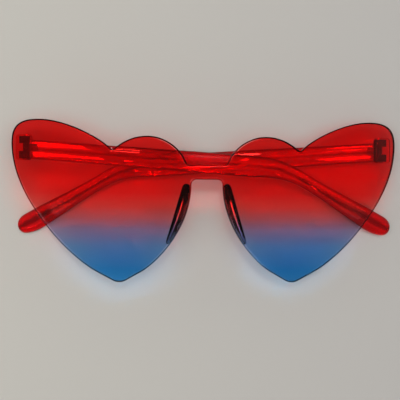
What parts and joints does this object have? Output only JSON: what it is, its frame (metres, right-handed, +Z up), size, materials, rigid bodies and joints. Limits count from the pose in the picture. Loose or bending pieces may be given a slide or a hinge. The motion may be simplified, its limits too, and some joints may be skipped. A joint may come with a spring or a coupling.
{
  "type": "sunglasses",
  "caption": "Folded rimless sunglasses with a one-piece gradient lens cut to joined hearts, clear red folding temples and bonded nose pads.",
  "frame": {"origin": "under the middle of the folded sunglasses, on the table", "axes": "+X towards the side of the outer temple's hinge, +Y towards the brow, +Z up from the table, which is forward out of the lens"},
  "size_m": [0.15, 0.0624, 0.025],
  "materials": {
    "lens": "polished tinted plastic, red to blue",
    "pad": "polished clear red plastic",
    "endpiece": "polished clear red plastic",
    "temple": "polished clear red plastic",
    "hinge": "satin nickel silver",
    "screw": "bright steel"
  },
  "bodies": {
    "front": {"lens": "lens", "nose_pad_left": "pad", "nose_pad_right": "pad", "endpiece_left": "endpiece", "endpiece_right": "endpiece", "front_hinge_left": "hinge", "front_hinge_right": "hinge", "hinge_screw_left": "screw", "hinge_screw_right": "screw"},
    "left_temple": {"temple_left": "temple", "temple_hinge_left": "hinge"},
    "right_temple": {"temple_right": "temple", "temple_hinge_right": "hinge"}
  },
  "joints": [
    {"name": "left_temple_hinge", "type": "hinge", "parent": "front", "child": "left_temple", "pos_m": [-0.06966, 0.0204, 0.01333], "axis": [0, 1, 0], "range_deg": [0, 94.6]},
    {"name": "right_temple_hinge", "type": "hinge", "parent": "front", "child": "right_temple", "pos_m": [0.06922, 0.0204, 0.00391], "axis": [0, -1, 0], "range_deg": [0, 90.12]}
  ]
}
